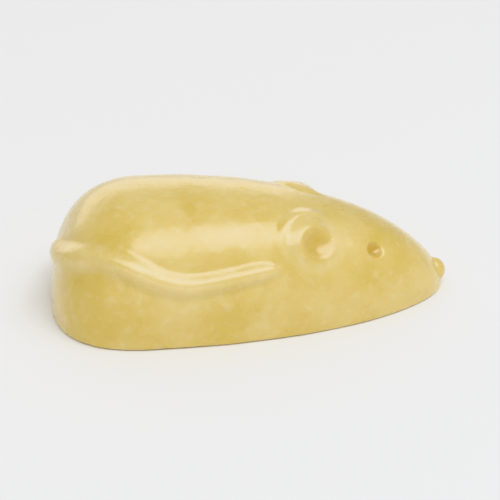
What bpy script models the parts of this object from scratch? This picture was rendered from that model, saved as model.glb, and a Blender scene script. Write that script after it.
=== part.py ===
"""A white chocolate mouse: one moulded sweet with a flat base, its nose towards +X, in metres with +Z up.

The body is a half teardrop. A nose bead, two ears and a tail lying along the right flank stand on it in
low relief and are fused to it. The eyes and the ears' hollows are sunk into it.

A place on the dome is given by its station, its rise and its side. The station is its distance back from
the nose. The rise is an angle up the cross-section, 0 at the base and 90 along the back. The side is -1
for the right flank, at -Y, and +1 for the left one.
"""

import math

import bmesh
import bpy
from mathutils import Matrix, Vector

# Driving dimensions of the body
BODY_LENGTH = 0.0372
BODY_WIDTH = 0.0186
BODY_HEIGHT = 0.0117
WIDEST_STATION = 0.0276
EDGE_RADIUS = 0.0004

# Shape of the body: how fast the snout fills out, how square the rump is, how full the dome is
SNOUT_POWER = 0.555
RUMP_POWER = 2.6
DOME_POWER = 2.25

# Nose bead at the tip of the snout
NOSE_RADIUS = 0.0012
NOSE_STATION = 0.0009
NOSE_HEIGHT = 0.0015

# Eyes: small round pits
EYE_STATION = 0.0072
EYE_RISE = 54
EYE_RADIUS = 0.0009
EYE_DEPTH = 0.0005

# Ears: round cups whose rear and upper rims stand out, so that each opens forwards and down
EAR_STATION = 0.0131
EAR_RISE = 54
EAR_RADIUS = 0.0026
EAR_THICKNESS = 0.002
EAR_SINK = 0.00045
EAR_TURN_OUT = 9
EAR_TIP_OUT = 6
HOLLOW_RADIUS = 0.0019
HOLLOW_DEPTH = 0.0008
HOLLOW_FORWARD = 0.0003
HOLLOW_DOWN = 0.0003

# Tail: out of the middle of the rump, round its side, then forwards along the flank to behind the ear
TAIL_SIDE = -1
TAIL_ROOT_RADIUS = 0.0015
TAIL_TIP_RADIUS = 0.0009
TAIL_TIP_STATION = 0.0166
TAIL_ROOT_HEIGHT = 0.0062
TAIL_CREST_HEIGHT = 0.0082
TAIL_CREST_SHARE = 0.44
TAIL_HOLLOW_HEIGHT = 0.0060
TAIL_HOLLOW_SHARE = 0.74
TAIL_TIP_HEIGHT = 0.0066
TAIL_SINK = 0.5
TAIL_END_SHARE = 0.1
TAIL_END_SIZE = 0.25
TAIL_POINTS = 41
TAIL_ROUTE_STEPS = 400

# Mesh density
BODY_SEGMENTS = 56
BODY_RINGS = 44
EDGE_SEGMENTS = 2
SMALL_SEGMENTS = 32
SMALL_RINGS = 16
TAIL_BEVEL_RESOLUTION = 4

# Tolerances of the modelling
SLOPE_STEP = 0.0002
FLAT_WITHIN = 1e-7
WELD_WITHIN = 1e-6
SHARP_ANGLE = 40

# Finish
CHOCOLATE_COLOUR = (0.76, 0.59, 0.27, 1.0)
CHOCOLATE_ROUGHNESS = 0.4


def clear_scene():
    """Removes every object and collection that the file opened with."""
    for old in list(bpy.data.objects):
        bpy.data.objects.remove(old, do_unlink=True)
    for old in list(bpy.data.collections):
        bpy.data.collections.remove(old)


def new_collection(name):
    """Returns a new collection linked to the scene."""
    collection = bpy.data.collections.new(name)
    bpy.context.scene.collection.children.link(collection)
    return collection


def white_chocolate():
    """Returns the pale, waxy material of the whole sweet."""
    material = bpy.data.materials.new("white_chocolate")
    material.use_nodes = True
    shader = material.node_tree.nodes["Principled BSDF"]
    shader.inputs["Base Color"].default_value = CHOCOLATE_COLOUR
    shader.inputs["Roughness"].default_value = CHOCOLATE_ROUGHNESS
    shader.inputs["Metallic"].default_value = 0.0
    return material


def fullness(station):
    """Share of its full width and height that the body has at a distance from the nose."""
    if station < WIDEST_STATION:
        ahead = 1 - max(station, 0) / WIDEST_STATION
        return (1 - ahead**2) ** SNOUT_POWER
    behind = min((station - WIDEST_STATION) / (BODY_LENGTH - WIDEST_STATION), 1)
    return (1 - behind**RUMP_POWER) ** (1 / RUMP_POWER)


def dome_point(station, rise, side):
    """Returns the point of the dome at a station, a rise in degrees and a side, +1 or -1."""
    share = fullness(station)
    half_width = BODY_WIDTH / 2 * share
    edge = min(EDGE_RADIUS, half_width / 2)
    angle = math.radians(rise)
    across = max(math.cos(angle), 0) ** (2 / DOME_POWER)
    up = max(math.sin(angle), 0) ** (2 / DOME_POWER)
    height = edge + (BODY_HEIGHT * share - edge) * up
    return Vector((BODY_LENGTH / 2 - station, side * half_width * across, height))


def base_point(station, share_across, side):
    """Returns a point of the rounded base edge or the flat base, from the wall (0) to the middle (1)."""
    half_width = BODY_WIDTH / 2 * fullness(station)
    edge = min(EDGE_RADIUS, half_width / 2)
    edge_share = EDGE_SEGMENTS / (BODY_SEGMENTS / 4)
    x = BODY_LENGTH / 2 - station
    if share_across < edge_share:
        turn = share_across / edge_share * math.pi / 2
        return Vector((x, side * (half_width - edge * (1 - math.cos(turn))), edge * (1 - math.sin(turn))))
    inward = (share_across - edge_share) / (1 - edge_share)
    return Vector((x, side * (half_width - edge) * (1 - inward), 0))


def dome_frame(station, rise, side):
    """Returns a matrix on the dome: X runs back along the body, Y up the flank and Z outwards. On the right
    flank its axes are left-handed, so that both flanks are mirror images."""
    along = dome_point(station + SLOPE_STEP, rise, side) - dome_point(station - SLOPE_STEP, rise, side)
    upward = dome_point(station, rise + 1, side) - dome_point(station, rise - 1, side)
    outward = along.cross(upward).normalized() * side
    back = along.normalized()
    frame = Matrix((back, outward.cross(back) * side, outward)).transposed().to_4x4()
    frame.translation = dome_point(station, rise, side)
    return frame


def object_from(mesh_tool, name, collection):
    """Turns a bmesh into an object in a collection and frees the bmesh."""
    bmesh.ops.recalc_face_normals(mesh_tool, faces=mesh_tool.faces[:])
    mesh = bpy.data.meshes.new(name)
    mesh_tool.to_mesh(mesh)
    mesh_tool.free()
    made = bpy.data.objects.new(name, mesh)
    collection.objects.link(made)
    return made


def make_body(collection):
    """A sphere with its poles at nose and rump, pulled to the half teardrop."""
    shape = bmesh.new()
    poles_along_x = Matrix.Rotation(math.pi / 2, 4, "Y")
    bmesh.ops.create_uvsphere(
        shape, u_segments=BODY_SEGMENTS, v_segments=BODY_RINGS, radius=1, matrix=poles_along_x
    )
    for vertex in shape.verts:
        station = BODY_LENGTH * (1 - vertex.co.x) / 2
        side = 1 if vertex.co.y >= 0 else -1
        rise = math.degrees(math.atan2(vertex.co.z, abs(vertex.co.y)))
        if rise >= 0:
            vertex.co = dome_point(station, rise, side)
        else:
            vertex.co = base_point(station, -rise / 90, side)
    flat = [face for face in shape.faces if max(abs(v.co.z) for v in face.verts) < FLAT_WITHIN]
    bmesh.ops.dissolve_faces(shape, faces=flat, use_verts=True)
    return object_from(shape, "mouse", collection)


def make_ball(name, frame, radii, collection):
    """A ball scaled to three radii in a frame, with its poles along the frame's Z."""
    shape = bmesh.new()
    size = Matrix.Diagonal((*radii, 1))
    bmesh.ops.create_uvsphere(
        shape, u_segments=SMALL_SEGMENTS, v_segments=SMALL_RINGS, radius=1, matrix=frame @ size
    )
    return object_from(shape, name, collection)


def make_nose(collection):
    """The bead at the tip of the snout."""
    place = Matrix.Translation((BODY_LENGTH / 2 - NOSE_STATION, 0, NOSE_HEIGHT))
    return make_ball("nose", place, (NOSE_RADIUS,) * 3, collection)


def side_name(side):
    """Returns the word for a side."""
    return "right" if side < 0 else "left"


def ear_frame(side):
    """The frame of one ear, turned so that its rear and upper rims stand out."""
    turn = Matrix.Rotation(math.radians(-EAR_TURN_OUT), 4, "Y")
    tip = Matrix.Rotation(math.radians(EAR_TIP_OUT), 4, "X")
    return dome_frame(EAR_STATION, EAR_RISE, side) @ turn @ tip @ Matrix.Translation((0, 0, -EAR_SINK))


def make_ear(side, collection):
    """One round ear."""
    radii = (EAR_RADIUS, EAR_RADIUS, EAR_THICKNESS / 2)
    return make_ball(f"ear_{side_name(side)}", ear_frame(side), radii, collection)


def make_ear_hollow(side, collection):
    """The cutter of one ear's hollow, a little in front of the ear's middle and below it."""
    place = ear_frame(side) @ Matrix.Translation((-HOLLOW_FORWARD, -HOLLOW_DOWN, EAR_THICKNESS / 2))
    radii = (HOLLOW_RADIUS, HOLLOW_RADIUS, HOLLOW_DEPTH)
    return make_ball(f"ear_hollow_{side_name(side)}", place, radii, collection)


def make_eye(side, collection):
    """The cutter of one eye's pit."""
    out = EYE_RADIUS - EYE_DEPTH
    place = dome_frame(EYE_STATION, EYE_RISE, side) @ Matrix.Translation((0, 0, out))
    return make_ball(f"eye_{side_name(side)}", place, (EYE_RADIUS,) * 3, collection)


def tail_height(share):
    """Returns the height of the tail's middle line, which swings gently from root to crest to hollow to tip."""
    heights = (TAIL_ROOT_HEIGHT, TAIL_CREST_HEIGHT, TAIL_HOLLOW_HEIGHT, TAIL_TIP_HEIGHT)
    shares = (0, TAIL_CREST_SHARE, TAIL_HOLLOW_SHARE, 1)
    for start, end, low, high in zip(shares, shares[1:], heights, heights[1:]):
        if share <= end:
            swing = (share - start) / (end - start)
            return low + (high - low) * swing**2 * (3 - 2 * swing)
    return TAIL_TIP_HEIGHT


def tail_root_station():
    """Returns the station at which the back comes down to the height of the tail's root."""
    behind = (1 - (TAIL_ROOT_HEIGHT / BODY_HEIGHT) ** RUMP_POWER) ** (1 / RUMP_POWER)
    return WIDEST_STATION + (BODY_LENGTH - WIDEST_STATION) * behind


def tail_place(share):
    """Returns the station and rise of the tail's middle line, from its root (0) to its tip (1)."""
    root = tail_root_station()
    station = root - (root - TAIL_TIP_STATION) * (1 - math.cos(math.pi / 2 * share))
    size = fullness(station)
    edge = min(EDGE_RADIUS, BODY_WIDTH / 4 * size)
    up = min((tail_height(share) - edge) / (BODY_HEIGHT * size - edge), 1)
    return station, math.degrees(math.asin(up ** (DOME_POWER / 2)))


def tail_shares():
    """Returns the shares at which the tail's points lie the same distance apart."""
    fine = [index / TAIL_ROUTE_STEPS for index in range(TAIL_ROUTE_STEPS + 1)]
    route = [dome_point(*tail_place(share), TAIL_SIDE) for share in fine]
    travelled = [0]
    for before, after in zip(route, route[1:]):
        travelled.append(travelled[-1] + (after - before).length)
    shares = []
    for index in range(TAIL_POINTS):
        wanted = travelled[-1] * index / (TAIL_POINTS - 1)
        shares.append(next(s for s, t in zip(fine, travelled) if t > wanted - WELD_WITHIN))
    return shares


def tail_radius(share):
    """Returns the tail's radius, which tapers from root to tip and is rounded off at both ends."""
    end = max(1 - min(share, 1 - share) / TAIL_END_SHARE, 0)
    rounding = TAIL_END_SIZE + (1 - TAIL_END_SIZE) * math.sqrt(1 - end**2)
    return rounding * (TAIL_ROOT_RADIUS + (TAIL_TIP_RADIUS - TAIL_ROOT_RADIUS) * share)


def make_tail(collection):
    """A tapering round tail, partly sunk along its route over the surface."""
    curve = bpy.data.curves.new("tail", "CURVE")
    curve.dimensions = "3D"
    curve.bevel_depth = 1
    curve.bevel_resolution = TAIL_BEVEL_RESOLUTION
    curve.use_fill_caps = True
    spline = curve.splines.new("POLY")
    spline.points.add(TAIL_POINTS - 1)
    for point, share in zip(spline.points, tail_shares()):
        frame = dome_frame(*tail_place(share), TAIL_SIDE)
        middle = frame @ Vector((0, 0, -TAIL_SINK * tail_radius(share)))
        point.co = (*middle, 1)
        point.radius = tail_radius(share)
    guide = bpy.data.objects.new("tail_guide", curve)
    collection.objects.link(guide)
    graph = bpy.context.evaluated_depsgraph_get()
    mesh = bpy.data.meshes.new_from_object(guide.evaluated_get(graph))
    shape = bmesh.new()
    shape.from_mesh(mesh)
    bmesh.ops.remove_doubles(shape, verts=shape.verts[:], dist=WELD_WITHIN)
    bpy.data.objects.remove(guide, do_unlink=True)
    bpy.data.meshes.remove(mesh)
    return object_from(shape, "tail", collection)


def fuse(body, reliefs):
    """Joins a collection of shapes to the body for good and removes them."""
    union = body.modifiers.new("fuse", "BOOLEAN")
    union.operation = "UNION"
    union.operand_type = "COLLECTION"
    union.collection = reliefs
    graph = bpy.context.evaluated_depsgraph_get()
    body.data = bpy.data.meshes.new_from_object(body.evaluated_get(graph))
    body.modifiers.remove(union)
    for relief in list(reliefs.objects):
        bpy.data.objects.remove(relief, do_unlink=True)
    bpy.data.collections.remove(reliefs)


def sink(body, cutters):
    """Cuts the pits and hollows out of the body with a live modifier."""
    for cutter in cutters.objects:
        cutter.hide_render = True
        cutter.display_type = "WIRE"
    cut = body.modifiers.new("sink", "BOOLEAN")
    cut.operation = "DIFFERENCE"
    cut.operand_type = "COLLECTION"
    cut.collection = cutters


def centre_on_base(body, cutters):
    """Moves the mesh and its cutters so that the origin is under the middle of the sweet."""
    xs = [vertex.co.x for vertex in body.data.vertices]
    ys = [vertex.co.y for vertex in body.data.vertices]
    shift = Matrix.Translation((-(min(xs) + max(xs)) / 2, -(min(ys) + max(ys)) / 2, 0))
    body.data.transform(shift)
    for cutter in cutters.objects:
        cutter.data.transform(shift)


def main():
    """Builds the mouse."""
    clear_scene()
    mouse = new_collection("white chocolate mouse")
    cutters = new_collection("cutters")
    reliefs = new_collection("reliefs")
    body = make_body(mouse)
    make_nose(reliefs)
    make_tail(reliefs)
    for side in (-1, 1):
        make_ear(side, reliefs)
        make_ear_hollow(side, cutters)
        make_eye(side, cutters)
    fuse(body, reliefs)
    centre_on_base(body, cutters)
    sink(body, cutters)
    body.data.materials.clear()
    body.data.materials.append(white_chocolate())
    body.data.shade_smooth()
    body.data.set_sharp_from_angle(angle=math.radians(SHARP_ANGLE))


main()
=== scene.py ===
"""A white chocolate mouse, one moulded sweet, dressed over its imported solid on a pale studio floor.

The sweet is a half teardrop with its flat side down and its nose towards +X. A fine blank of that form is
raised and sunk by one node tree, as the mould does it: a nose bead, two cupped ears and a tail along the
right flank stand out in low relief, and two eyes are pressed in.

A place on the dome is given by its station, its rise and its side. The station is its distance back from
the nose. The rise is an angle up the cross-section, 0 at the base and 90 along the back. The side is -1
for the right flank, at -Y, and +1 for the left one.
"""

import logging
import math
from collections.abc import Mapping
from dataclasses import dataclass, field
from enum import Enum

import bmesh
import bpy
from mathutils import Matrix, Vector

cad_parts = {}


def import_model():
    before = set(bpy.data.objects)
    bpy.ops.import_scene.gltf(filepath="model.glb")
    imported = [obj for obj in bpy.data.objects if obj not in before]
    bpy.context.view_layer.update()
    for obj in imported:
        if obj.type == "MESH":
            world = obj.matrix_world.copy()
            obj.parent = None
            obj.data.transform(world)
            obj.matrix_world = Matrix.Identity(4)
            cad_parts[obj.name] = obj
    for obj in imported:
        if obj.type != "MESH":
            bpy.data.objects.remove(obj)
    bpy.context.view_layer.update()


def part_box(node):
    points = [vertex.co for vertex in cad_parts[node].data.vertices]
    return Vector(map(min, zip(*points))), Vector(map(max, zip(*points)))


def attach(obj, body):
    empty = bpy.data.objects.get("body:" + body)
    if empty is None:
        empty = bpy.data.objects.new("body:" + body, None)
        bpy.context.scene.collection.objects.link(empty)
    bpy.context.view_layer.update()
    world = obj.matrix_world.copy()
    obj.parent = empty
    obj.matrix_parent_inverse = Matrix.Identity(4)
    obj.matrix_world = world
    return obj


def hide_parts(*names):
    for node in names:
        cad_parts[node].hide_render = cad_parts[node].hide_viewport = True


NODE = "mouse"
MM = 0.001

log = logging.getLogger("mouse")


def linear(hex_colour: str) -> tuple[float, float, float, float]:
    """Turns an sRGB colour into the linear one that Blender's sockets take.

    Args:
        hex_colour: The colour as six hex digits after a #.

    Returns:
        Red, green, blue and an alpha of 1.
    """
    channels = [int(hex_colour[start : start + 2], 16) / 255 for start in (1, 3, 5)]
    red, green, blue = (c / 12.92 if c <= 0.04045 else ((c + 0.055) / 1.055) ** 2.4 for c in channels)
    return red, green, blue, 1.0


def add_node(
    tree: bpy.types.NodeTree,
    kind: str,
    inputs: Mapping[str | int, object] | None = None,
    **settings: object,
) -> bpy.types.Node:
    """Adds one node to a tree, with its settings and its links.

    Args:
        tree: The tree that takes the node.
        kind: Blender's name for the kind of node.
        inputs: For each input, by name or number, its value, the output that is linked to it, or a node
            whose first output is.
        settings: The node's own properties.

    Returns:
        The new node.
    """
    node = tree.nodes.new(kind)
    for name, setting in settings.items():
        setattr(node, name, setting)
    for key, value in (inputs or {}).items():
        if isinstance(value, bpy.types.Node):
            tree.links.new(value.outputs[0], node.inputs[key])
        elif isinstance(value, bpy.types.NodeSocket):
            tree.links.new(value, node.inputs[key])
        else:
            node.inputs[key].default_value = value
    return node


class Side(Enum):
    """A flank of the mouse."""

    RIGHT = -1
    LEFT = 1


@dataclass(frozen=True)
class Dome:
    """The half teardrop that everything else stands on or is sunk into."""

    length: float = 37.2 * MM
    width: float = 18.6 * MM
    height: float = 11.7 * MM
    widest_station: float = 27.6 * MM
    edge_radius: float = 0.4 * MM
    snout_power: float = 0.555
    rump_power: float = 2.6
    dome_power: float = 2.25
    slope_step: float = 0.2 * MM
    # The blank's mesh: its faces round and along the body, the shares of them that the dome and the rounded
    # base edge take, and how much closer they lie towards the nose
    around: int = 300
    along: int = 326
    dome_share: float = 0.78
    edge_share: float = 0.18
    nose_crowding: float = 1.12

    def fullness(self, station: float) -> float:
        """Works out how much of its full width and height the body has.

        Args:
            station: The distance back from the nose.

        Returns:
            A share from 0 to 1.
        """
        if station < self.widest_station:
            ahead = 1 - max(station, 0) / self.widest_station
            return (1 - ahead**2) ** self.snout_power
        behind = min((station - self.widest_station) / (self.length - self.widest_station), 1)
        return (1 - behind**self.rump_power) ** (1 / self.rump_power)

    def edge(self, station: float) -> float:
        """Radius of the rounded base edge at a station, which shrinks where the body comes to a point."""
        return min(self.edge_radius, self.width / 4 * self.fullness(station))

    def point(self, station: float, rise: float, side: int) -> Vector:
        """Finds a point of the dome.

        Args:
            station: The distance back from the nose.
            rise: The angle up the cross-section, in degrees.
            side: -1 for the right flank and +1 for the left one.

        Returns:
            The point, before the sweet is centred.
        """
        share = self.fullness(station)
        edge = self.edge(station)
        angle = math.radians(rise)
        across = max(math.cos(angle), 0) ** (2 / self.dome_power)
        up = max(math.sin(angle), 0) ** (2 / self.dome_power)
        height = edge + (self.height * share - edge) * up
        return Vector((self.length / 2 - station, side * self.width / 2 * share * across, height))

    def base_point(self, station: float, share_across: float, side: int) -> Vector:
        """Finds a point of the rounded base edge or of the flat base.

        Args:
            station: The distance back from the nose.
            share_across: How far in the point lies, from the wall (0) to the middle (1).
            side: -1 for the right flank and +1 for the left one.

        Returns:
            The point, before the sweet is centred.
        """
        half_width = self.width / 2 * self.fullness(station)
        edge = self.edge(station)
        x = self.length / 2 - station
        if share_across < self.edge_share:
            turn = share_across / self.edge_share * math.pi / 2
            return Vector((x, side * (half_width - edge * (1 - math.cos(turn))), edge * (1 - math.sin(turn))))
        inward = (share_across - self.edge_share) / (1 - self.edge_share)
        return Vector((x, side * (half_width - edge) * (1 - inward), 0))

    def axes(self, station: float, rise: float, side: int) -> Matrix:
        """Makes a frame on the dome: X runs back along the body, Y up the flank and Z outwards.

        Args:
            station: The distance back from the nose.
            rise: The angle up the cross-section, in degrees.
            side: -1 for the right flank, where the frame is left-handed, and +1 for the left one.

        Returns:
            The frame as a matrix.
        """
        step = self.slope_step
        along = self.point(station + step, rise, side) - self.point(station - step, rise, side)
        upward = self.point(station, rise + 1, side) - self.point(station, rise - 1, side)
        outward = along.cross(upward).normalized() * side
        back = along.normalized()
        frame = Matrix((back, outward.cross(back) * side, outward)).transposed().to_4x4()
        frame.translation = self.point(station, rise, side)
        return frame

    def blank(self, name: str) -> bpy.types.Object:
        """Makes the fine blank: a sphere with its poles at nose and rump, pulled to the half teardrop.

        Args:
            name: The name of the new object.

        Returns:
            The blank, linked to the scene.
        """
        shape = bmesh.new()
        poles_along_x = Matrix.Rotation(math.pi / 2, 4, "Y")
        bmesh.ops.create_uvsphere(
            shape, u_segments=self.around, v_segments=self.along, radius=1, matrix=poles_along_x
        )
        inward = shape.verts.layers.float.new("inward")
        for vertex in shape.verts:
            turn = math.acos(max(min(vertex.co.x, 1), -1)) / math.pi
            station = self.length * (1 - math.cos(math.pi * turn**self.nose_crowding)) / 2
            side = 1 if vertex.co.y >= 0 else -1
            from_top = math.atan2(abs(vertex.co.y), vertex.co.z) / math.pi
            if from_top <= self.dome_share:
                vertex.co = self.point(station, 90 * (1 - from_top / self.dome_share), side)
            else:
                across = (from_top - self.dome_share) / (1 - self.dome_share)
                vertex.co = self.base_point(station, across, side)
                vertex[inward] = max(across - self.edge_share, 0) * self.fullness(station)
        bmesh.ops.recalc_face_normals(shape, faces=shape.faces[:])
        mesh = bpy.data.meshes.new(name)
        shape.to_mesh(mesh)
        shape.free()
        blank = bpy.data.objects.new(name, mesh)
        bpy.context.scene.collection.objects.link(blank)
        return blank


@dataclass(frozen=True)
class Nose:
    """The bead at the tip of the snout."""

    radius: float = 1.2 * MM
    station: float = 0.9 * MM
    height: float = 1.5 * MM

    def centre(self, dome: Dome) -> Vector:
        """Middle of the bead."""
        return Vector((dome.length / 2 - self.station, 0, self.height))


@dataclass(frozen=True)
class Eye:
    """A small round pit, pressed into each side of the head."""

    station: float = 7.2 * MM
    rise: float = 54
    radius: float = 0.9 * MM
    depth: float = 0.5 * MM

    def frame(self, dome: Dome) -> Matrix:
        """Frame of the left eye on the dome."""
        return dome.axes(self.station, self.rise, Side.LEFT.value)


@dataclass(frozen=True)
class Ear:
    """A round cup whose rear and upper rims stand out, so that it opens forwards and down."""

    station: float = 13.1 * MM
    rise: float = 54
    radius: float = 2.6 * MM
    thickness: float = 2.0 * MM
    sink: float = 0.45 * MM
    turn_out: float = 9
    tip_out: float = 6
    hollow_radius: float = 1.9 * MM
    hollow_depth: float = 0.8 * MM
    hollow_forward: float = 0.3 * MM
    hollow_down: float = 0.3 * MM

    def frame(self, dome: Dome) -> Matrix:
        """Frame of the left ear, in the middle of its thickness."""
        turn = Matrix.Rotation(math.radians(-self.turn_out), 4, "Y")
        tip = Matrix.Rotation(math.radians(self.tip_out), 4, "X")
        seat = dome.axes(self.station, self.rise, Side.LEFT.value)
        return seat @ turn @ tip @ Matrix.Translation((0, 0, -self.sink))


@dataclass(frozen=True)
class Tail:
    """The tail: out of the middle of the rump, round its right side and forwards to behind the ear."""

    root_radius: float = 1.5 * MM
    tip_radius: float = 0.9 * MM
    tip_station: float = 16.6 * MM
    shares: tuple[float, ...] = (0, 0.44, 0.74, 1)
    heights: tuple[float, ...] = (6.2 * MM, 8.2 * MM, 6.0 * MM, 6.6 * MM)
    sink: float = 0.5
    end_share: float = 0.1
    end_size: float = 0.25
    points: int = 500

    def height(self, share: float) -> float:
        """Finds the height of the middle line, which swings from root to crest to hollow to tip.

        Args:
            share: The place along the tail, from its root (0) to its tip (1).

        Returns:
            The height above the base.
        """
        for start, end, low, high in zip(self.shares, self.shares[1:], self.heights, self.heights[1:]):
            if share <= end:
                swing = (share - start) / (end - start)
                return low + (high - low) * swing**2 * (3 - 2 * swing)
        return self.heights[-1]

    def place(self, share: float, dome: Dome) -> Vector:
        """Finds a point of the middle line on the dome.

        Args:
            share: The place along the tail, from its root (0) to its tip (1).
            dome: The body that the tail lies on.

        Returns:
            The point.
        """
        power = dome.rump_power
        behind = (1 - (self.heights[0] / dome.height) ** power) ** (1 / power)
        root = dome.widest_station + (dome.length - dome.widest_station) * behind
        station = root - (root - self.tip_station) * (1 - math.cos(math.pi / 2 * share))
        edge = dome.edge(station)
        up = min((self.height(share) - edge) / (dome.height * dome.fullness(station) - edge), 1)
        rise = math.degrees(math.asin(up ** (dome.dome_power / 2)))
        return dome.point(station, rise, Side.RIGHT.value)

    def radius(self, travelled: float) -> float:
        """Finds the radius, which tapers and is rounded off at both ends.

        Args:
            travelled: The share of the tail's own length, from its root (0) to its tip (1).

        Returns:
            The radius.
        """
        end = max(1 - min(travelled, 1 - travelled) / self.end_share, 0)
        rounding = self.end_size + (1 - self.end_size) * math.sqrt(1 - end**2)
        return rounding * (self.root_radius + (self.tip_radius - self.root_radius) * travelled)

    def guide(self, dome: Dome) -> bpy.types.Object:
        """Lays the tail's middle line on the dome as a curve whose points carry the radius.

        Args:
            dome: The body that the tail lies on.

        Returns:
            The curve, linked to the scene.
        """
        route = [self.place(index / (self.points - 1), dome) for index in range(self.points)]
        travelled = [0.0]
        for before, after in zip(route, route[1:]):
            travelled.append(travelled[-1] + (after - before).length)
        curve = bpy.data.curves.new("tail_guide", "CURVE")
        curve.dimensions = "3D"
        spline = curve.splines.new("POLY")
        spline.points.add(self.points - 1)
        for point, place, distance in zip(spline.points, route, travelled):
            point.co = (*place, 1)
            point.radius = self.radius(distance / travelled[-1])
        guide = bpy.data.objects.new("tail_guide", curve)
        bpy.context.scene.collection.objects.link(guide)
        return guide


@dataclass(frozen=True)
class Surface:
    """How the moulded surface strays from the ideal form: softened corners, wobble and the poured base."""

    corner: float = 0.28 * MM
    tail_corner: float = 0.8 * MM
    tail_rubbed_height: float = 0.6 * MM
    ear_fullness: float = 1.15
    ear_draft: float = 0.9 * MM
    # How strongly gold is painted into the ear cups as shade
    ear_painted_shade: float = 0.5
    eye_corner: float = 0.12 * MM
    nose_corner: float = 0.18 * MM
    wobble: float = 0.05 * MM
    wobble_size: float = 5.0 * MM
    ripple: float = 0.012 * MM
    ripple_size: float = 1.1 * MM
    poured_dip: float = 0.12 * MM
    poured_rim: float = 0.7
    poured_wave: float = 0.3
    poured_wave_size: float = 2.4 * MM
    seed: float = 7.0


@dataclass(frozen=True)
class WhiteChocolate:
    """White chocolate, cast in a polished mould: cocoa butter, milk solids and sugar.

    The mould gives it a waxy sheen without a mirror's sharpness. Some light scatters just under its surface,
    which warms its shadows, and a deeper gold is painted into its hollows as shade.
    """

    # Butter and cream are matched to the photo. Gold is painted shade in the hollows, and bloom pales flecks
    # and crests
    butter: str = "#d6bb5b"
    cream: str = "#dfc77b"
    shade_gold: str = "#cba43a"
    bloom: str = "#f4e9c8"
    bloom_on_flecks: float = 0.16
    bloom_on_crests: float = 0.15
    painted_shade_in_hollows: float = 0.85
    # Cocoa butter's IOR is about 1.46. The skin is a clear coat, set for the photo's soft highlight
    cocoa_butter_ior: float = 1.46
    roughness_low: float = 0.24
    roughness_high: float = 0.34
    skin: float = 1.0
    skin_ior: float = 1.5
    skin_roughness: float = 0.25
    # How far light scatters is a guess: under a millimetre, and red over twice as far as blue
    translucency: float = 0.35
    light_depth: float = 0.7 * MM
    light_reach: tuple[float, float, float] = (1.0, 0.75, 0.45)
    # Cell sizes of the noise in the colour and the sheen, as given
    cloud_size: float = 5.0 * MM
    rubbed_size: float = 2.6 * MM
    fleck_size: float = 0.9 * MM
    # Grain and scuffs are bump noise, their sizes also given. A scuff's length and width are its noise's
    # cell, drawn out along the body and turned slightly askew, in degrees
    grain_size: float = 0.16 * MM
    grain_height: float = 0.002 * MM
    scuff_length: float = 6.0 * MM
    scuff_width: float = 0.22 * MM
    scuff_height: float = 0.005 * MM
    scuff_turn: float = 12

    def material(self, name: str) -> bpy.types.Material:
        """Builds the material.

        Args:
            name: The material's name.

        Returns:
            The new material.
        """
        material = bpy.data.materials.new(name)
        material.use_nodes = True
        tree = material.node_tree
        tree.nodes.clear()
        place = add_node(tree, "ShaderNodeTexCoord").outputs["Object"]
        shader = add_node(
            tree,
            "ShaderNodeBsdfPrincipled",
            {
                "Base Color": self.colour(tree, place),
                "Roughness": self.sheen(tree, place),
                "Normal": self.relief(tree, place),
                "Metallic": 0.0,
                "IOR": self.cocoa_butter_ior,
                "Subsurface Weight": self.translucency,
                "Subsurface Radius": self.light_reach,
                "Subsurface Scale": self.light_depth,
                "Coat Weight": self.skin,
                "Coat Roughness": self.skin_roughness,
                "Coat IOR": self.skin_ior,
            },
        )
        add_node(tree, "ShaderNodeOutputMaterial", {"Surface": shader.outputs["BSDF"]})
        return material

    def colour(self, tree: bpy.types.NodeTree, place: bpy.types.NodeSocket) -> bpy.types.NodeSocket:
        """Mixes the colour: butter and cream in soft clouds, gold painted into the hollows as shade, paler on
        what stands out.

        Args:
            tree: The material's tree.
            place: The object coordinates.

        Returns:
            The colour.
        """
        cloud = add_node(
            tree,
            "ShaderNodeTexNoise",
            {"Vector": place, "Scale": 1 / self.cloud_size, "Detail": 3.0, "Roughness": 0.55},
        )
        cloud_share = add_node(
            tree,
            "ShaderNodeMapRange",
            {"Value": cloud.outputs["Fac"], "From Min": 0.3, "From Max": 0.7},
            interpolation_type="SMOOTHSTEP",
        )
        clouded = add_node(
            tree,
            "ShaderNodeMix",
            {0: cloud_share.outputs["Result"], 6: linear(self.butter), 7: linear(self.cream)},
            data_type="RGBA",
        )
        fleck = add_node(
            tree,
            "ShaderNodeTexNoise",
            {"Vector": place, "Scale": 1 / self.fleck_size, "Detail": 2.0, "Roughness": 0.5},
        )
        fleck_share = add_node(
            tree,
            "ShaderNodeMapRange",
            {
                "Value": fleck.outputs["Fac"],
                "From Min": 0.52,
                "From Max": 0.75,
                "To Max": self.bloom_on_flecks,
            },
        )
        flecked = add_node(
            tree,
            "ShaderNodeMix",
            {0: fleck_share.outputs["Result"], 6: clouded.outputs[2], 7: linear(self.bloom)},
            data_type="RGBA",
        )
        raised = add_node(tree, "ShaderNodeAttribute", attribute_name="raised")
        rubbed_share = add_node(
            tree,
            "ShaderNodeMath",
            {0: raised.outputs["Fac"], 1: self.bloom_on_crests},
            operation="MULTIPLY",
        )
        rubbed = add_node(
            tree,
            "ShaderNodeMix",
            {0: rubbed_share.outputs[0], 6: flecked.outputs[2], 7: linear(self.bloom)},
            data_type="RGBA",
        )
        # Gold is painted in as shade wherever the hollow weight of the ear cups and eye pits lies
        hollow = add_node(tree, "ShaderNodeAttribute", attribute_name="hollow")
        painted_shade_share = add_node(
            tree,
            "ShaderNodeMath",
            {0: hollow.outputs["Fac"], 1: self.painted_shade_in_hollows},
            operation="MULTIPLY",
        )
        shaded_hollows = add_node(
            tree,
            "ShaderNodeMix",
            {0: painted_shade_share.outputs[0], 6: rubbed.outputs[2], 7: linear(self.shade_gold)},
            data_type="RGBA",
        )
        return shaded_hollows.outputs[2]

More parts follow.
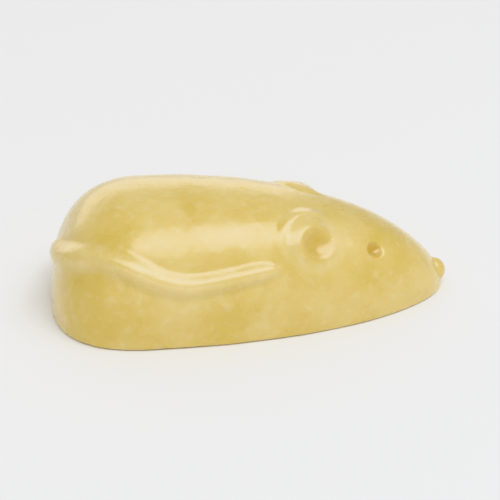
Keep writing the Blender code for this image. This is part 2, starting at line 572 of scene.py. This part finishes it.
    def sheen(self, tree: bpy.types.NodeTree, place: bpy.types.NodeSocket) -> bpy.types.NodeSocket:
        """Varies the roughness in patches, as if handling had rubbed the mould's sheen off.

        Args:
            tree: The material's tree.
            place: The object coordinates.

        Returns:
            The roughness.
        """
        patch = add_node(
            tree,
            "ShaderNodeTexNoise",
            {"Vector": place, "Scale": 1 / self.rubbed_size, "Detail": 2.0, "Roughness": 0.5},
        )
        rough = add_node(
            tree,
            "ShaderNodeMapRange",
            {
                "Value": patch.outputs["Fac"],
                "From Min": 0.35,
                "From Max": 0.65,
                "To Min": self.roughness_low,
                "To Max": self.roughness_high,
            },
        )
        return rough.outputs["Result"]

    def relief(self, tree: bpy.types.NodeTree, place: bpy.types.NodeSocket) -> bpy.types.NodeSocket:
        """Adds what is too fine for the mesh: the fat's grain and faint scuffs along the body.

        Args:
            tree: The material's tree.
            place: The object coordinates.

        Returns:
            The bumped normal.
        """
        grain = add_node(
            tree,
            "ShaderNodeTexNoise",
            {"Vector": place, "Scale": 1 / self.grain_size, "Detail": 2.0},
        )
        grained = add_node(
            tree,
            "ShaderNodeBump",
            {"Height": grain.outputs["Fac"], "Strength": 1.0, "Distance": self.grain_height},
        )
        stretch = add_node(
            tree,
            "ShaderNodeMapping",
            {
                "Vector": place,
                "Rotation": (0.0, 0.0, math.radians(self.scuff_turn)),
                "Scale": (1 / self.scuff_length, 1 / self.scuff_width, 1 / self.scuff_width),
            },
        )
        scuff = add_node(
            tree,
            "ShaderNodeTexNoise",
            {"Vector": stretch.outputs["Vector"], "Scale": 1.0, "Detail": 2.0, "Roughness": 0.6},
        )
        line = add_node(
            tree,
            "ShaderNodeMapRange",
            {"Value": scuff.outputs["Fac"], "From Min": 0.6, "From Max": 0.75},
        )
        scuffed = add_node(
            tree,
            "ShaderNodeBump",
            {
                "Height": line.outputs["Result"],
                "Strength": 1.0,
                "Distance": self.scuff_height,
                "Normal": grained.outputs["Normal"],
            },
            invert=True,
        )
        return scuffed.outputs["Normal"]


@dataclass
class MouldedMouse:
    """The whole sweet: the blank, raised and sunk by one tree, then centred over its base and dressed."""

    dome: Dome = field(default_factory=Dome)
    nose: Nose = field(default_factory=Nose)
    eye: Eye = field(default_factory=Eye)
    ear: Ear = field(default_factory=Ear)
    tail: Tail = field(default_factory=Tail)
    surface: Surface = field(default_factory=Surface)
    finish: WhiteChocolate = field(default_factory=WhiteChocolate)

    def sizes(self, guide: bpy.types.Object, material: bpy.types.Material) -> dict[str, tuple[str, object]]:
        """Lists the tree's inputs.

        Args:
            guide: The tail's middle line.
            material: The finish of the sweet.

        Returns:
            For each input's name, the type of its socket and its value.
        """
        ear = self.ear.frame(self.dome)
        eye = self.eye.frame(self.dome)
        number, vector = "NodeSocketFloat", "NodeSocketVector"
        return {
            "Tail Path": ("NodeSocketObject", guide),
            "Tail Sink": (number, self.tail.sink),
            "Tail Corner": (number, self.surface.tail_corner),
            "Tail Rubbed Height": (number, self.surface.tail_rubbed_height),
            "Ear Centre": (vector, ear.translation),
            "Ear Back": (vector, ear.col[0].to_3d()),
            "Ear Up": (vector, ear.col[1].to_3d()),
            "Ear Out": (vector, ear.col[2].to_3d()),
            "Ear Radius": (number, self.ear.radius),
            "Ear Half Thickness": (number, self.ear.thickness / 2),
            "Ear Fullness": (number, self.surface.ear_fullness),
            "Ear Draft": (number, self.surface.ear_draft),
            "Ear Painted Shade": (number, self.surface.ear_painted_shade),
            "Hollow Radius": (number, self.ear.hollow_radius),
            "Hollow Depth": (number, self.ear.hollow_depth),
            "Hollow Forward": (number, self.ear.hollow_forward),
            "Hollow Down": (number, self.ear.hollow_down),
            "Eye Centre": (vector, eye.translation),
            "Eye Out": (vector, eye.col[2].to_3d()),
            "Eye Radius": (number, self.eye.radius),
            "Eye Depth": (number, self.eye.depth),
            "Eye Corner": (number, self.surface.eye_corner),
            "Nose Centre": (vector, self.nose.centre(self.dome)),
            "Nose Radius": (number, self.nose.radius),
            "Nose Corner": (number, self.surface.nose_corner),
            "Corner": (number, self.surface.corner),
            "Wobble": (number, self.surface.wobble),
            "Wobble Size": (number, self.surface.wobble_size),
            "Ripple": (number, self.surface.ripple),
            "Ripple Size": (number, self.surface.ripple_size),
            "Poured Dip": (number, self.surface.poured_dip),
            "Poured Rim": (number, self.surface.poured_rim),
            "Poured Wave": (number, self.surface.poured_wave),
            "Poured Wave Size": (number, self.surface.poured_wave_size),
            "Seed": (number, self.surface.seed),
            "Finish": ("NodeSocketMaterial", material),
        }

    def relief_tree(self, sizes: Mapping[str, tuple[str, object]]) -> bpy.types.NodeTree:
        """Builds the tree that turns the blank into the mouse.

        Args:
            sizes: The tree's inputs.

        Returns:
            The new tree.
        """
        tree = bpy.data.node_groups.new("moulded_relief", "GeometryNodeTree")
        tree.interface.new_socket("Geometry", in_out="INPUT", socket_type="NodeSocketGeometry")
        for name, (kind, _) in sizes.items():
            tree.interface.new_socket(name, in_out="INPUT", socket_type=kind)
        tree.interface.new_socket("Geometry", in_out="OUTPUT", socket_type="NodeSocketGeometry")
        size = tree.nodes.new("NodeGroupInput").outputs
        geometry = self.raise_tail(tree, size, size["Geometry"])
        geometry = self.raise_ears(tree, size, geometry)
        geometry = self.press_eyes(tree, size, geometry)
        geometry = self.swell_nose(tree, size, geometry)
        geometry = self.unsettle(tree, size, geometry)
        smooth = add_node(tree, "GeometryNodeSetShadeSmooth", {"Geometry": geometry})
        real = add_node(tree, "GeometryNodeRealizeInstances", {"Geometry": smooth})
        dressed = add_node(tree, "GeometryNodeSetMaterial", {"Geometry": real, "Material": size["Finish"]})
        add_node(tree, "NodeGroupOutput", {"Geometry": dressed})
        return tree

    def raise_tail(
        self, tree: bpy.types.NodeTree, size: bpy.types.NodeOutputs, geometry: bpy.types.NodeSocket
    ) -> bpy.types.NodeSocket:
        """Raises a soft round ridge along the tail's middle line.

        Args:
            tree: The tree.
            size: The tree's inputs.
            geometry: The body so far.

        Returns:
            The body with its tail.
        """
        place = add_node(tree, "GeometryNodeInputPosition")
        path = add_node(tree, "GeometryNodeObjectInfo", {"Object": size["Tail Path"]})
        beads = add_node(
            tree, "GeometryNodeCurveToPoints", {"Curve": path.outputs["Geometry"]}, mode="EVALUATED"
        )
        nearest = add_node(
            tree, "GeometryNodeSampleNearest", {"Geometry": beads, "Sample Position": place}, domain="POINT"
        )
        middle = add_node(
            tree,
            "GeometryNodeSampleIndex",
            {"Geometry": beads, "Value": place, "Index": nearest},
            data_type="FLOAT_VECTOR",
        )
        radius = add_node(
            tree,
            "GeometryNodeSampleIndex",
            {"Geometry": beads, "Value": add_node(tree, "GeometryNodeInputRadius"), "Index": nearest},
            data_type="FLOAT",
        )
        away = add_node(tree, "ShaderNodeVectorMath", {0: place, 1: middle}, operation="DISTANCE")
        share = add_node(tree, "ShaderNodeMath", {0: away.outputs["Value"], 1: radius}, operation="DIVIDE")
        square = add_node(tree, "ShaderNodeMath", {0: share, 1: share}, operation="MULTIPLY")
        sunk = add_node(
            tree, "ShaderNodeMath", {0: size["Tail Sink"], 1: size["Tail Sink"]}, operation="MULTIPLY"
        )
        reach = add_node(tree, "ShaderNodeMath", {0: 1.0, 1: sunk}, operation="SUBTRACT")
        fall = add_node(tree, "ShaderNodeMath", {0: square, 1: reach}, operation="DIVIDE")
        crest = add_node(tree, "ShaderNodeMath", {0: 1.0, 1: fall}, operation="SUBTRACT")
        proud = add_node(tree, "ShaderNodeMath", {0: 1.0, 1: size["Tail Sink"]}, operation="SUBTRACT")
        full = add_node(tree, "ShaderNodeMath", {0: proud, 1: radius}, operation="MULTIPLY")
        ridge = add_node(tree, "ShaderNodeMath", {0: crest, 1: full}, operation="MULTIPLY")
        lift = add_node(
            tree, "ShaderNodeMath", {0: ridge, 1: 0.0, 2: size["Tail Corner"]}, operation="SMOOTH_MAX"
        )
        rubbed = add_node(tree, "ShaderNodeMapRange", {"Value": lift, "From Max": size["Tail Rubbed Height"]})
        marked = add_node(
            tree,
            "GeometryNodeStoreNamedAttribute",
            {"Geometry": geometry, "Name": "raised", "Value": rubbed},
            data_type="FLOAT",
        )
        offset = add_node(
            tree,
            "ShaderNodeVectorMath",
            {0: add_node(tree, "GeometryNodeInputNormal"), "Scale": lift},
            operation="SCALE",
        )
        moved = add_node(tree, "GeometryNodeSetPosition", {"Geometry": marked, "Offset": offset})
        return moved.outputs[0]

    def beside(
        self, tree: bpy.types.NodeTree, size: bpy.types.NodeOutputs, part: str
    ) -> tuple[bpy.types.Node, bpy.types.Node, bpy.types.Node]:
        """Measures each point from an ear or eye of its own flank, because both flanks are alike.

        Args:
            tree: The tree.
            size: The tree's inputs.
            part: Ear or Eye, as in the names of the inputs.

        Returns:
            The point from the part's middle, its height along the part's outward axis, and that axis on
            the point's own flank.
        """
        parts = add_node(tree, "ShaderNodeSeparateXYZ", {0: add_node(tree, "GeometryNodeInputPosition")})
        y = parts.outputs["Y"]
        folded = add_node(
            tree,
            "ShaderNodeCombineXYZ",
            {
                "X": parts.outputs["X"],
                "Y": add_node(tree, "ShaderNodeMath", {0: y}, operation="ABSOLUTE"),
                "Z": parts.outputs["Z"],
            },
        )
        reach = add_node(
            tree, "ShaderNodeVectorMath", {0: folded, 1: size[f"{part} Centre"]}, operation="SUBTRACT"
        )
        height = add_node(
            tree, "ShaderNodeVectorMath", {0: reach, 1: size[f"{part} Out"]}, operation="DOT_PRODUCT"
        )
        flank = add_node(
            tree,
            "ShaderNodeCombineXYZ",
            {"X": 1.0, "Y": add_node(tree, "ShaderNodeMath", {0: y}, operation="SIGN"), "Z": 1.0},
        )
        outward = add_node(
            tree, "ShaderNodeVectorMath", {0: size[f"{part} Out"], 1: flank}, operation="MULTIPLY"
        )
        return reach, height, outward

    def near(
        self,
        tree: bpy.types.NodeTree,
        amount: bpy.types.Node,
        height: bpy.types.NodeSocket,
        reach: bpy.types.Node | bpy.types.NodeSocket,
    ) -> bpy.types.Node:
        """Keeps an ear or eye to the dome, so that the base deep below it stays as it is.

        Args:
            tree: The tree.
            amount: How much the ear or eye does at each point.
            height: The point's height along the part's outward axis.
            reach: How far below the part's middle it still acts.

        Returns:
            The amount, and nothing below that reach.
        """
        lowest = add_node(tree, "ShaderNodeMath", {0: 0.0, 1: reach}, operation="SUBTRACT")
        above = add_node(tree, "ShaderNodeMath", {0: height, 1: lowest}, operation="GREATER_THAN")
        return add_node(tree, "ShaderNodeMath", {0: amount, 1: above}, operation="MULTIPLY")

    def raise_ears(
        self, tree: bpy.types.NodeTree, size: bpy.types.NodeOutputs, geometry: bpy.types.NodeSocket
    ) -> bpy.types.NodeSocket:
        """Raises both ears with drafted walls and sinks a hollow into each.

        Args:
            tree: The tree.
            size: The tree's inputs.
            geometry: The body so far.

        Returns:
            The body with its ears.
        """
        reach, seat, outward = self.beside(tree, size, "Ear")
        height = seat.outputs["Value"]
        back = add_node(
            tree, "ShaderNodeVectorMath", {0: reach, 1: size["Ear Back"]}, operation="DOT_PRODUCT"
        )
        up = add_node(tree, "ShaderNodeVectorMath", {0: reach, 1: size["Ear Up"]}, operation="DOT_PRODUCT")
        flat = add_node(
            tree, "ShaderNodeCombineXYZ", {"X": back.outputs["Value"], "Y": up.outputs["Value"], "Z": 0.0}
        )
        away = add_node(tree, "ShaderNodeVectorMath", {0: flat}, operation="LENGTH").outputs["Value"]
        share = add_node(tree, "ShaderNodeMath", {0: away, 1: size["Ear Radius"]}, operation="DIVIDE")
        square = add_node(tree, "ShaderNodeMath", {0: share, 1: share}, operation="MULTIPLY")
        left = add_node(tree, "ShaderNodeMath", {0: 1.0, 1: square}, operation="SUBTRACT")
        inside = add_node(tree, "ShaderNodeMath", {0: left, 1: 0.0}, operation="MAXIMUM")
        full = add_node(tree, "ShaderNodeMath", {0: inside, 1: size["Ear Fullness"]}, operation="POWER")
        top = add_node(tree, "ShaderNodeMath", {0: full, 1: size["Ear Half Thickness"]}, operation="MULTIPLY")
        foot = add_node(
            tree, "ShaderNodeMath", {0: size["Ear Radius"], 1: size["Ear Draft"]}, operation="ADD"
        )
        skirt = add_node(
            tree,
            "ShaderNodeMapRange",
            {"Value": away, "From Min": foot, "From Max": size["Ear Radius"], "To Min": 0.0, "To Max": 1.0},
            interpolation_type="SMOOTHSTEP",
        )
        wall = self.near(tree, skirt, height, foot)
        rise = add_node(tree, "ShaderNodeMath", {0: top, 1: height}, operation="SUBTRACT")
        proud = add_node(tree, "ShaderNodeMath", {0: rise, 1: 0.0, 2: size["Corner"]}, operation="SMOOTH_MAX")
        stood = add_node(tree, "ShaderNodeMath", {0: proud, 1: wall, 2: height}, operation="MULTIPLY_ADD")
        aside = add_node(
            tree,
            "ShaderNodeCombineXYZ",
            {"X": size["Hollow Forward"], "Y": size["Hollow Down"], "Z": 0.0},
        )
        shifted = add_node(tree, "ShaderNodeVectorMath", {0: flat, 1: aside}, operation="ADD")
        off = add_node(tree, "ShaderNodeVectorMath", {0: shifted}, operation="LENGTH").outputs["Value"]
        off_share = add_node(tree, "ShaderNodeMath", {0: off, 1: size["Hollow Radius"]}, operation="DIVIDE")
        off_square = add_node(tree, "ShaderNodeMath", {0: off_share, 1: off_share}, operation="MULTIPLY")
        bowl = add_node(tree, "ShaderNodeMath", {0: 1.0, 1: off_square}, operation="SUBTRACT")
        depth = add_node(tree, "ShaderNodeMath", {0: bowl, 1: size["Hollow Depth"]}, operation="MULTIPLY")
        floor = add_node(
            tree, "ShaderNodeMath", {0: size["Ear Half Thickness"], 1: depth}, operation="SUBTRACT"
        )
        cupped = add_node(
            tree, "ShaderNodeMath", {0: stood, 1: floor, 2: size["Corner"]}, operation="SMOOTH_MIN"
        )
        lift = add_node(tree, "ShaderNodeMath", {0: cupped, 1: height}, operation="SUBTRACT")
        sunk = add_node(tree, "ShaderNodeMath", {0: bowl, 1: wall}, operation="MULTIPLY", use_clamp=True)
        rim = add_node(tree, "ShaderNodeMath", {0: wall, 1: sunk}, operation="SUBTRACT", use_clamp=True)
        # The ear cups' hollow weight sets how much gold is painted in there as shade
        hollow = add_node(tree, "ShaderNodeMath", {0: sunk, 1: size["Ear Painted Shade"]}, operation="MULTIPLY")
        tail = add_node(tree, "GeometryNodeInputNamedAttribute", {"Name": "raised"}, data_type="FLOAT")
        raised = add_node(tree, "ShaderNodeMath", {0: tail, 1: rim}, operation="MAXIMUM")
        for name, value in (("raised", raised), ("hollow", hollow)):
            geometry = add_node(
                tree,
                "GeometryNodeStoreNamedAttribute",
                {"Geometry": geometry, "Name": name, "Value": value},
                data_type="FLOAT",
            ).outputs[0]
        offset = add_node(tree, "ShaderNodeVectorMath", {0: outward, "Scale": lift}, operation="SCALE")
        moved = add_node(tree, "GeometryNodeSetPosition", {"Geometry": geometry, "Offset": offset})
        return moved.outputs[0]

    def press_eyes(
        self, tree: bpy.types.NodeTree, size: bpy.types.NodeOutputs, geometry: bpy.types.NodeSocket
    ) -> bpy.types.NodeSocket:
        """Presses a round pit into each side of the head.

        Args:
            tree: The tree.
            size: The tree's inputs.
            geometry: The body so far.

        Returns:
            The body with its eyes.
        """
        reach, seat, outward = self.beside(tree, size, "Eye")
        height = seat.outputs["Value"]
        length = add_node(tree, "ShaderNodeVectorMath", {0: reach}, operation="LENGTH").outputs["Value"]
        length_square = add_node(tree, "ShaderNodeMath", {0: length, 1: length}, operation="MULTIPLY")
        height_square = add_node(tree, "ShaderNodeMath", {0: height, 1: height}, operation="MULTIPLY")
        away_square = add_node(
            tree, "ShaderNodeMath", {0: length_square, 1: height_square}, operation="SUBTRACT"
        )
        radius_square = add_node(
            tree, "ShaderNodeMath", {0: size["Eye Radius"], 1: size["Eye Radius"]}, operation="MULTIPLY"
        )
        share = add_node(tree, "ShaderNodeMath", {0: away_square, 1: radius_square}, operation="DIVIDE")
        bowl = add_node(tree, "ShaderNodeMath", {0: share, 1: 1.0}, operation="SUBTRACT")
        floor = add_node(tree, "ShaderNodeMath", {0: bowl, 1: size["Eye Depth"]}, operation="MULTIPLY")
        pressed = add_node(
            tree, "ShaderNodeMath", {0: height, 1: floor, 2: size["Eye Corner"]}, operation="SMOOTH_MIN"
        )
        lift = add_node(tree, "ShaderNodeMath", {0: pressed, 1: height}, operation="SUBTRACT")
        bowl_share = add_node(
            tree, "ShaderNodeMath", {0: 1.0, 1: share}, operation="SUBTRACT", use_clamp=True
        )
        pit = self.near(tree, bowl_share, height, size["Eye Radius"])
        # The eye pits join the hollow weight, so gold is painted into them as shade too
        ears = add_node(tree, "GeometryNodeInputNamedAttribute", {"Name": "hollow"}, data_type="FLOAT")
        hollow = add_node(tree, "ShaderNodeMath", {0: ears, 1: pit}, operation="MAXIMUM")
        marked = add_node(
            tree,
            "GeometryNodeStoreNamedAttribute",
            {"Geometry": geometry, "Name": "hollow", "Value": hollow},
            data_type="FLOAT",
        )
        offset = add_node(tree, "ShaderNodeVectorMath", {0: outward, "Scale": lift}, operation="SCALE")
        moved = add_node(tree, "GeometryNodeSetPosition", {"Geometry": marked, "Offset": offset})
        return moved.outputs[0]

    def swell_nose(
        self, tree: bpy.types.NodeTree, size: bpy.types.NodeOutputs, geometry: bpy.types.NodeSocket
    ) -> bpy.types.NodeSocket:
        """Swells the tip of the snout out to its bead.

        Args:
            tree: The tree.
            size: The tree's inputs.
            geometry: The body so far.

        Returns:
            The body with its nose.
        """
        reach = add_node(
            tree,
            "ShaderNodeVectorMath",
            {0: add_node(tree, "GeometryNodeInputPosition"), 1: size["Nose Centre"]},
            operation="SUBTRACT",
        )
        away = add_node(tree, "ShaderNodeVectorMath", {0: reach}, operation="LENGTH").outputs["Value"]
        swollen = add_node(
            tree,
            "ShaderNodeMath",
            {0: away, 1: size["Nose Radius"], 2: size["Nose Corner"]},
            operation="SMOOTH_MAX",
        )
        growth = add_node(tree, "ShaderNodeMath", {0: swollen, 1: away}, operation="DIVIDE")
        added = add_node(tree, "ShaderNodeMath", {0: growth, 1: 1.0}, operation="SUBTRACT")
        offset = add_node(tree, "ShaderNodeVectorMath", {0: reach, "Scale": added}, operation="SCALE")
        moved = add_node(tree, "GeometryNodeSetPosition", {"Geometry": geometry, "Offset": offset})
        return moved.outputs[0]

    def unsettle(
        self, tree: bpy.types.NodeTree, size: bpy.types.NodeOutputs, geometry: bpy.types.NodeSocket
    ) -> bpy.types.NodeSocket:
        """Gives the dome the slight wobble of set chocolate and the poured base its dip and waves.

        Args:
            tree: The tree.
            size: The tree's inputs.
            geometry: The body so far.

        Returns:
            The finished body, with nothing below its base.
        """
        place = add_node(tree, "GeometryNodeInputPosition")
        heights = {}
        for name in ("Wobble", "Ripple", "Poured Wave"):
            scale = add_node(tree, "ShaderNodeMath", {0: 1.0, 1: size[f"{name} Size"]}, operation="DIVIDE")
            noise = add_node(
                tree,
                "ShaderNodeTexNoise",
                {"Vector": place, "W": size["Seed"], "Scale": scale, "Detail": 1.0},
                noise_dimensions="4D",
            )
            heights[name] = add_node(
                tree,
                "ShaderNodeMapRange",
                {"Value": noise, "From Min": 0.25, "From Max": 0.75, "To Min": -1.0, "To Max": 1.0},
                clamp=False,
            )
        wobble = add_node(
            tree, "ShaderNodeMath", {0: heights["Wobble"], 1: size["Wobble"]}, operation="MULTIPLY"
        )
        uneven = add_node(
            tree,
            "ShaderNodeMath",
            {0: heights["Ripple"], 1: size["Ripple"], 2: wobble},
            operation="MULTIPLY_ADD",
        )
        on_dome = add_node(
            tree,
            "ShaderNodeVectorMath",
            {0: add_node(tree, "GeometryNodeInputNormal"), "Scale": uneven},
            operation="SCALE",
        )
        inward = add_node(tree, "GeometryNodeInputNamedAttribute", {"Name": "inward"}, data_type="FLOAT")
        off_edge = add_node(
            tree,
            "ShaderNodeMapRange",
            {"Value": inward, "From Max": size["Poured Rim"]},
            interpolation_type="SMOOTHSTEP",
        )
        waves = add_node(
            tree,
            "ShaderNodeMath",
            {0: heights["Poured Wave"], 1: size["Poured Wave"], 2: 1.0},
            operation="MULTIPLY_ADD",
        )
        dip = add_node(tree, "ShaderNodeMath", {0: waves, 1: size["Poured Dip"]}, operation="MULTIPLY")
        raised = add_node(tree, "ShaderNodeMath", {0: dip, 1: off_edge}, operation="MULTIPLY")
        on_base = add_node(tree, "ShaderNodeCombineXYZ", {"X": 0.0, "Y": 0.0, "Z": raised})
        is_base = add_node(tree, "FunctionNodeCompare", {0: inward, 1: 0.0}, operation="GREATER_THAN")
        offset = add_node(
            tree,
            "GeometryNodeSwitch",
            {"Switch": is_base, "False": on_dome, "True": on_base},
            input_type="VECTOR",
        )
        moved = add_node(tree, "GeometryNodeSetPosition", {"Geometry": geometry, "Offset": offset})
        parts = add_node(tree, "ShaderNodeSeparateXYZ", {0: place})
        above = add_node(tree, "ShaderNodeMath", {0: parts.outputs["Z"], 1: 0.0}, operation="MAXIMUM")
        resting = add_node(
            tree, "ShaderNodeCombineXYZ", {"X": parts.outputs["X"], "Y": parts.outputs["Y"], "Z": above}
        )
        rested = add_node(tree, "GeometryNodeSetPosition", {"Geometry": moved, "Position": resting})
        return rested.outputs[0]

    def build(self) -> bpy.types.Object:
        """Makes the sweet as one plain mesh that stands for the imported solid.

        Returns:
            The finished piece.
        """
        material = self.finish.material("white_chocolate_cast")
        guide = self.tail.guide(self.dome)
        mouse = self.dome.blank("moulded_mouse")
        sizes = self.sizes(guide, material)
        tree = self.relief_tree(sizes)
        mould = mouse.modifiers.new("mould", "NODES")
        mould.node_group = tree
        for item in tree.interface.items_tree:
            if item.in_out == "INPUT" and item.name in sizes:
                mould[item.identifier] = sizes[item.name][1]
        graph = bpy.context.evaluated_depsgraph_get()
        blank = mouse.data
        mouse.data = bpy.data.meshes.new_from_object(mouse.evaluated_get(graph))
        mouse.modifiers.remove(mould)
        bpy.data.meshes.remove(blank)
        bpy.data.objects.remove(guide, do_unlink=True)
        front = self.nose.centre(self.dome).x + self.nose.radius
        mouse.data.transform(Matrix.Translation((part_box(NODE)[1].x - front, 0, 0)))
        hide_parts(NODE)
        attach(mouse, "root")
        return mouse


@dataclass(frozen=True)
class Softbox:
    """One rectangular softbox, aimed at the middle of the sweet."""

    name: str
    place: tuple[float, float, float]
    size: tuple[float, float]
    power: float
    tint: str

    def hang(self, aim: Vector) -> bpy.types.Object:
        """Hangs the box.

        Args:
            aim: The point it faces.

        Returns:
            The light.
        """
        lamp = bpy.data.lights.new(self.name, "AREA")
        lamp.shape = "RECTANGLE"
        lamp.size, lamp.size_y = self.size
        lamp.energy = self.power
        lamp.color = linear(self.tint)[:3]
        light = bpy.data.objects.new(self.name, lamp)
        light.location = self.place
        light.rotation_euler = (Vector(self.place) - aim).to_track_quat("Z", "Y").to_euler()
        bpy.context.scene.collection.objects.link(light)
        return light


@dataclass(frozen=True)
class Studio:
    """A plain pale floor under plain soft light: a key above, a weak box in front and one behind."""

    floor_size: float = 4.0
    floor_colour: str = "#f5f5f4"
    floor_roughness: float = 0.85
    sky_colour: str = "#f4f4f4"
    sky_strength: float = 0.6
    view_transform: str = "Khronos PBR Neutral"
    aim: tuple[float, float, float] = (0.0, 0.0, 5 * MM)
    softboxes: tuple[Softbox, ...] = (
        Softbox("key_box", place=(0.08, -0.11, 0.31), size=(0.38, 0.16), power=0.76, tint="#f7f9ff"),
        Softbox("fill_box", place=(-0.05, -0.36, 0.06), size=(0.40, 0.10), power=0.14, tint="#ffffff"),
        Softbox("back_box", place=(-0.10, 0.34, 0.12), size=(0.50, 0.16), power=0.32, tint="#fff6ea"),
    )

    def lay_floor(self) -> bpy.types.Object:
        """Lays the matt floor that the sweet stands on.

        Returns:
            The floor.
        """
        shape = bmesh.new()
        bmesh.ops.create_grid(shape, x_segments=1, y_segments=1, size=self.floor_size / 2)
        mesh = bpy.data.meshes.new("floor")
        shape.to_mesh(mesh)
        shape.free()
        floor = bpy.data.objects.new("floor", mesh)
        bpy.context.scene.collection.objects.link(floor)
        material = bpy.data.materials.new("matt_card")
        material.use_nodes = True
        shader = material.node_tree.nodes["Principled BSDF"]
        shader.inputs["Base Color"].default_value = linear(self.floor_colour)
        shader.inputs["Roughness"].default_value = self.floor_roughness
        mesh.materials.append(material)
        return floor

    def light_sky(self) -> None:
        """Fills the shadows from a pale sky."""
        world = bpy.data.worlds.new("pale_sky")
        world.use_nodes = True
        sky = world.node_tree.nodes["Background"]
        sky.inputs["Color"].default_value = linear(self.sky_colour)
        sky.inputs["Strength"].default_value = self.sky_strength
        bpy.context.scene.world = world

    def build(self) -> None:
        """Sets the colours' view, the floor and the light."""
        bpy.context.scene.view_settings.view_transform = self.view_transform
        self.lay_floor()
        self.light_sky()
        for softbox in self.softboxes:
            softbox.hang(Vector(self.aim))


@dataclass(frozen=True)
class Camera:
    """A long lens that looks down on the right flank."""

    azimuth: float = -5
    elevation: float = 31
    lens: float = 120
    sensor: float = 36
    frame_width: float = 47.0 * MM
    target: tuple[float, float, float] = (0.0, 0.0, 4.6 * MM)
    clip_ratio: float = 100
    clip_end: float = 100

    def build(self) -> bpy.types.Object:
        """Sets up the camera.

        Returns:
            The camera.
        """
        data = bpy.data.cameras.new("camera")
        data.lens = self.lens
        data.sensor_width = self.sensor
        camera = bpy.data.objects.new("camera", data)
        turn, tilt = math.radians(self.azimuth), math.radians(self.elevation)
        level = math.cos(tilt)
        back = Vector((math.sin(turn) * level, -math.cos(turn) * level, math.sin(tilt)))
        distance = self.frame_width * self.lens / self.sensor
        camera.location = Vector(self.target) + back * distance
        camera.rotation_euler = back.to_track_quat("Z", "Y").to_euler()
        data.clip_start = distance / self.clip_ratio
        data.clip_end = self.clip_end
        bpy.context.scene.collection.objects.link(camera)
        bpy.context.scene.camera = camera
        return camera


def main() -> None:
    """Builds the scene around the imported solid."""
    logging.basicConfig(level=logging.INFO, format="%(name)s: %(message)s")
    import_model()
    mouse = MouldedMouse().build()
    log.info("%s: %d faces", mouse.name, len(mouse.data.polygons))
    Studio().build()
    log.info("floor and light set")
    camera = Camera().build()
    log.info("%s: %.0f mm from the sweet", camera.name, camera.location.length / MM)


if __name__ == "__main__":
    main()
